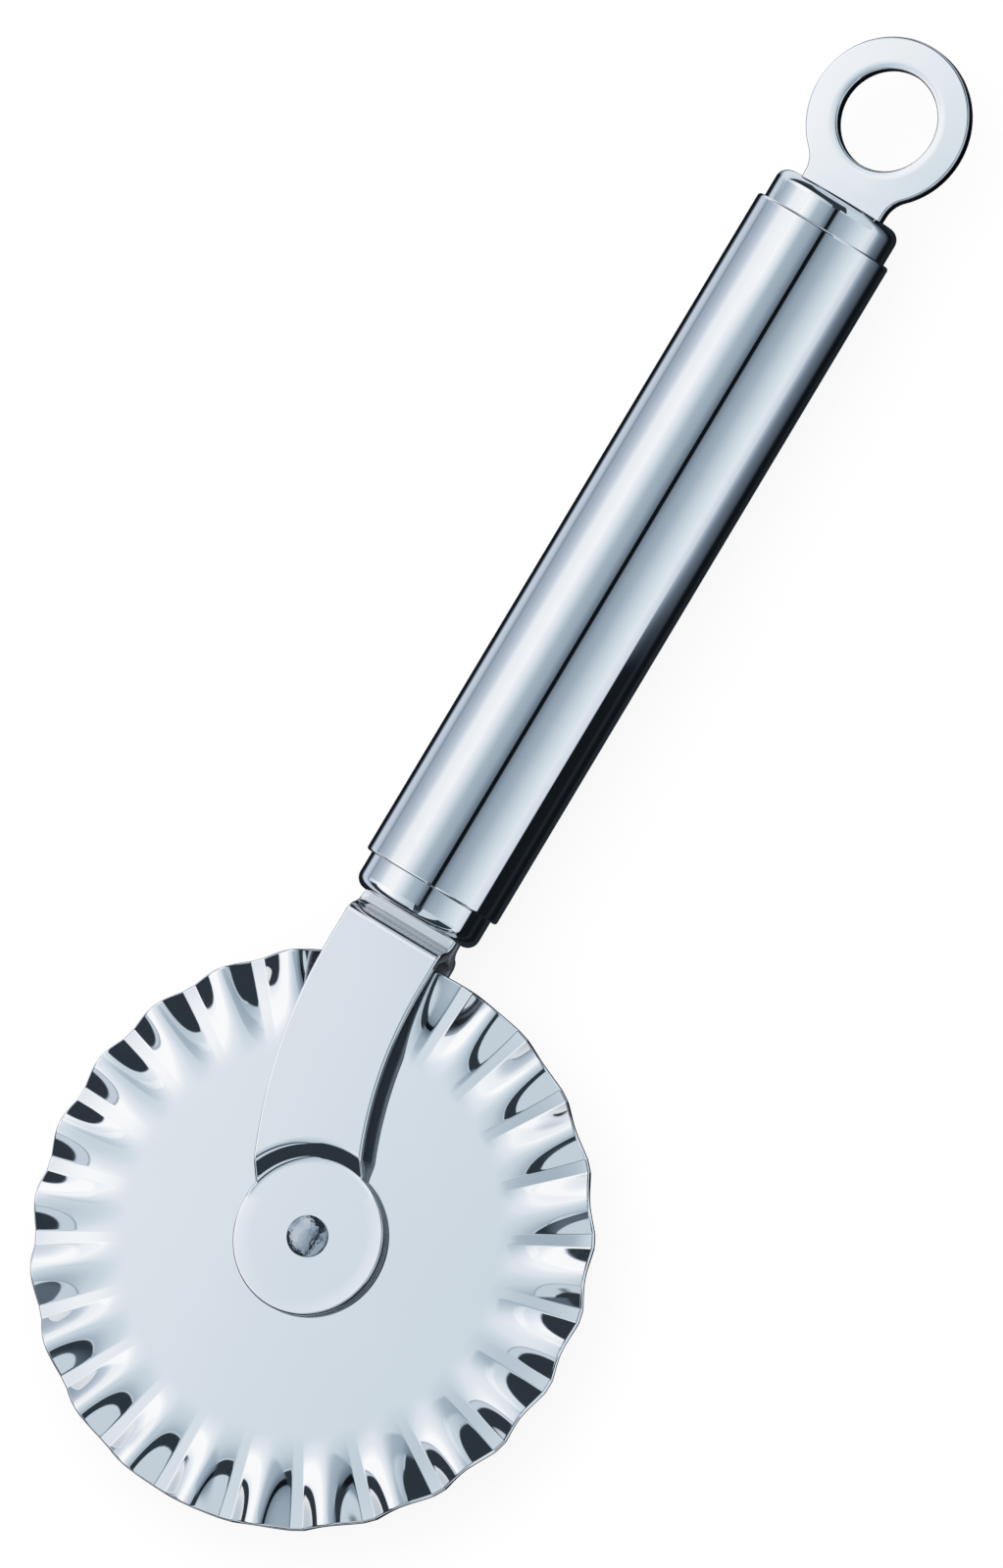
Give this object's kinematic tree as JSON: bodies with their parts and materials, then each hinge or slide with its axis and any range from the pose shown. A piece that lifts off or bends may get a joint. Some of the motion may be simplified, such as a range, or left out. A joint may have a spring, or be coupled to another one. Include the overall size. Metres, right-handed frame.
{
  "type": "fluted pastry wheel",
  "caption": "Rolling pastry cutter: fluted wheel between two curved fork arms on a round tube handle with a hanging ring.",
  "frame": {"origin": "bottom centre of the bounding box of the tool lying on its side", "axes": "+Z out of the visible face, along the wheel's axle; +Y along the handle from the wheel to the hanging ring; +X towards the side the wheel is set off to"},
  "size_m": [0.068, 0.1888, 0.0174],
  "materials": {
    "sleeve_steel": "satin, brushed lengthwise",
    "cap_steel": "polished",
    "polished_steel": "mirror polished stainless steel",
    "wheel_steel": "mirror polished stainless steel",
    "rivet_steel": "peened, with fine scratches"
  },
  "bodies": {
    "handle": {"grip_sleeve": "sleeve_steel", "fork_end_cap": "cap_steel", "ring_end_cap": "cap_steel", "hanging_ring": "polished_steel", "front_fork_arm": "polished_steel", "rear_fork_arm": "polished_steel", "axle_rivet": "rivet_steel", "axle_bush": "rivet_steel"},
    "wheel": {"fluted_wheel": "wheel_steel"}
  },
  "joints": [
    {"name": "wheel_spin", "type": "hinge", "parent": "handle", "child": "wheel", "pos_m": [0, -0.06045, 0.0087], "axis": [0, 0, 1], "continuous": true}
  ]
}
